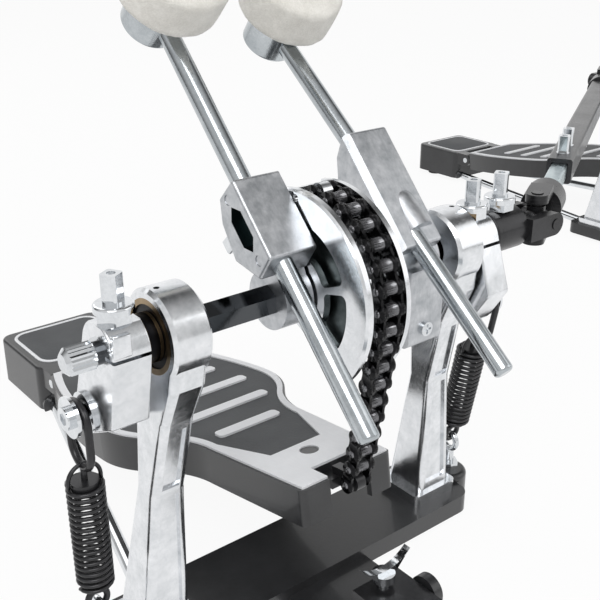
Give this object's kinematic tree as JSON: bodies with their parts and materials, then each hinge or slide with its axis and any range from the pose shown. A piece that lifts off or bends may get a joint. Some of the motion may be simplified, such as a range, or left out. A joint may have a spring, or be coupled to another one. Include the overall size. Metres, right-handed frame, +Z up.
{
  "type": "double bass drum pedal",
  "caption": "Chain-driven double bass drum pedal: footboard, cam and return spring turn a hex axle with a beater; a jointed drive shaft links a second pedal to the other beater.",
  "frame": {"origin": "on the floor under the middle of the primary pedal's axle", "axes": "+X along the axle to the player's right, +Y towards the drum, +Z up"},
  "size_m": [0.8833, 0.624, 0.322],
  "materials": {
    "cast_silver": "polished cast aluminium",
    "black_casting": "satin black paint",
    "chrome": "bright plated steel",
    "bearing_steel": "ground steel with a dull seal",
    "black_steel": "black oxide",
    "silver_bar": "bright drawn steel",
    "silver_trim": "bright raised metal",
    "grip_pad": "dull dark grey",
    "felt": "pressed felt",
    "rubber": "matt"
  },
  "bodies": {
    "frame": {"base": "black_casting", "slave_base": "black_casting", "post_right": "cast_silver", "post_left": "cast_silver", "slave_posts": "cast_silver", "bearing_outer_races": "bearing_steel", "radius_rods": "chrome", "heel_plates": "black_casting", "hinge_pins": "chrome", "rubber_feet": "rubber", "base_fasteners": "chrome"},
    "clamp_jaw": {"clamp_jaw": "black_steel"},
    "clamp_screw": {"clamp_screw": "chrome"},
    "primary_axle": {"primary_axle": "chrome", "primary_bearing_race": "bearing_steel", "cam": "cast_silver", "chain_wrap": "black_steel", "beater_holder": "cast_silver", "beater_rod": "chrome", "beater_felt": "felt", "spring_rocker": "cast_silver", "primary_fasteners": "chrome"},
    "chain_run": {"chain_run": "black_steel"},
    "secondary_axle": {"secondary_axle": "chrome", "secondary_bearing_race": "bearing_steel", "secondary_beater_holder": "cast_silver", "secondary_beater_rod": "chrome", "secondary_beater_felt": "felt", "secondary_rocker": "cast_silver", "secondary_fasteners": "chrome", "near_yoke": "black_steel"},
    "primary_spring_body": {"spring": "black_steel", "spring_hook": "black_steel"},
    "primary_spring_link_body": {"spring_link": "black_steel"},
    "secondary_spring_body": {"secondary_spring": "black_steel", "secondary_spring_hook": "black_steel"},
    "secondary_spring_link_body": {"secondary_spring_link": "black_steel"},
    "slave_spring_body": {"slave_spring": "black_steel", "slave_spring_hook": "black_steel"},
    "slave_spring_link_body": {"slave_spring_link": "black_steel"},
    "footboard": {"footboard": "black_casting", "footboard_trim": "silver_trim", "footboard_pad": "grip_pad", "chain_bracket": "black_steel"},
    "slave_axle": {"slave_axle": "chrome", "slave_bearing_races": "bearing_steel", "slave_cam": "cast_silver", "slave_chain_wrap": "black_steel", "slave_rocker": "cast_silver", "slave_fasteners": "chrome", "slave_yoke": "black_steel"},
    "slave_chain_run": {"slave_chain_run": "black_steel"},
    "slave_footboard": {"slave_footboard": "black_casting", "slave_footboard_trim": "silver_trim", "slave_footboard_pad": "grip_pad"},
    "cross_near": {"cross_near": "black_steel"},
    "cross_far": {"cross_far": "black_steel"},
    "drive_shaft": {"drive_bar": "silver_bar", "drive_tube": "black_steel", "shaft_screws": "chrome"}
  },
  "joints": [
    {"name": "primary_strike", "type": "hinge", "parent": "frame", "child": "primary_axle", "pos_m": [0, 0, 0.168], "axis": [-1, 0, 0], "range_deg": [0, 50]},
    {"name": "secondary_strike", "type": "hinge", "parent": "frame", "child": "secondary_axle", "pos_m": [0, 0, 0.168], "axis": [-1, 0, 0], "range_deg": [-0.5, 50.5]},
    {"name": "slave_strike", "type": "hinge", "parent": "frame", "child": "slave_axle", "pos_m": [-0.65055, -0.22, 0.168], "axis": [-1, 0, 0], "range_deg": [0, 50]},
    {"name": "footboard_hinge", "type": "hinge", "parent": "frame", "child": "footboard", "pos_m": [0, -0.236, 0.03], "axis": [-1, 0, 0], "range_deg": [-0.1, 8.44]},
    {"name": "chain_swing", "type": "hinge", "parent": "primary_axle", "child": "chain_run", "pos_m": [-0.001, 0.04285, 0.18073], "axis": [1, 0, 0], "range_deg": [-0.3, 55.4], "deforming": ["chain_run", "chain_wrap"]},
    {"name": "slave_footboard_hinge", "type": "hinge", "parent": "frame", "child": "slave_footboard", "pos_m": [-0.65055, -0.456, 0.03], "axis": [-1, 0, 0], "range_deg": [-0.1, 8.44]},
    {"name": "slave_chain_swing", "type": "hinge", "parent": "slave_axle", "child": "slave_chain_run", "pos_m": [-0.65155, -0.17715, 0.18073], "axis": [1, 0, 0], "range_deg": [-0.3, 55.4], "deforming": ["slave_chain_run", "slave_chain_wrap"]},
    {"name": "spring_swing", "type": "hinge", "parent": "frame", "child": "primary_spring_body", "pos_m": [0.1161, -0.014, 0.038], "axis": [1, 0, 0], "range_deg": [-0.2, 10.31]},
    {"name": "spring_stretch", "type": "slide", "parent": "primary_spring_body", "child": "primary_spring_link_body", "axis": [0, -0.0125, 0.9999], "range_m": [-0.0001, 0.02657], "deforming": ["spring"]},
    {"name": "secondary_spring_swing", "type": "hinge", "parent": "frame", "child": "secondary_spring_body", "pos_m": [-0.1116, -0.014, 0.038], "axis": [1, 0, 0], "range_deg": [-0.2, 17.8]},
    {"name": "secondary_spring_stretch", "type": "slide", "parent": "secondary_spring_body", "child": "secondary_spring_link_body", "axis": [0, 0.1791, 0.9838], "range_m": [-0.0001, 0.01032], "deforming": ["secondary_spring"]},
    {"name": "slave_spring_swing", "type": "hinge", "parent": "frame", "child": "slave_spring_body", "pos_m": [-0.74515, -0.234, 0.038], "axis": [1, 0, 0], "range_deg": [-0.2, 14.24]},
    {"name": "slave_spring_stretch", "type": "slide", "parent": "slave_spring_body", "child": "slave_spring_link_body", "axis": [0, 0.0686, 0.9976], "range_m": [-0.0001, 0.02091], "deforming": ["slave_spring"]},
    {"name": "shaft_spin", "type": "hinge", "parent": "frame", "child": "drive_shaft", "pos_m": [-0.1525, 0, 0.168], "axis": [-0.866, -0.5, 0], "range_deg": [-0.3, 55.31]},
    {"name": "cross_near_tilt", "type": "hinge", "parent": "secondary_axle", "child": "cross_near", "pos_m": [-0.1525, 0, 0.168], "axis": [0, 1, 0], "range_deg": [-25.24, 0.3]},
    {"name": "cross_far_tilt", "type": "hinge", "parent": "slave_axle", "child": "cross_far", "pos_m": [-0.53355, -0.22, 0.168], "axis": [0, 1, 0], "range_deg": [-25.24, 0.3]},
    {"name": "clamp_rock", "type": "hinge", "parent": "frame", "child": "clamp_jaw", "pos_m": [0, 0.06, 0.025], "axis": [-1, 0, 0], "range_deg": [0, 8]},
    {"name": "clamp_feed", "type": "slide", "parent": "clamp_jaw", "child": "clamp_screw", "axis": [0, 0, -1], "range_m": [-0.00002, 0.0015]}
  ],
  "couplings": [
    {"joint": "secondary_strike", "follows": "slave_strike", "ratio": 1},
    {"joint": "footboard_hinge", "follows": "primary_strike", "ratio": 0.16682},
    {"joint": "chain_swing", "follows": "primary_strike", "ratio": 1.1019},
    {"joint": "slave_footboard_hinge", "follows": "slave_strike", "ratio": 0.16682},
    {"joint": "slave_chain_swing", "follows": "slave_strike", "ratio": 1.1019},
    {"joint": "spring_swing", "follows": "primary_strike", "ratio": 0.2041},
    {"joint": "spring_stretch", "follows": "primary_strike", "m_per_rad": 0.03003},
    {"joint": "secondary_spring_swing", "follows": "slave_strike", "ratio": 0.35256},
    {"joint": "secondary_spring_stretch", "follows": "slave_strike", "m_per_rad": 0.0116},
    {"joint": "slave_spring_swing", "follows": "slave_strike", "ratio": 0.28198},
    {"joint": "slave_spring_stretch", "follows": "slave_strike", "m_per_rad": 0.02361},
    {"joint": "shaft_spin", "follows": "slave_strike", "ratio": 1.0953},
    {"joint": "cross_near_tilt", "follows": "slave_strike", "ratio": -0.4998},
    {"joint": "cross_far_tilt", "follows": "slave_strike", "ratio": -0.4998},
    {"joint": "clamp_feed", "follows": "clamp_rock", "m_per_rad": 0.01}
  ]
}
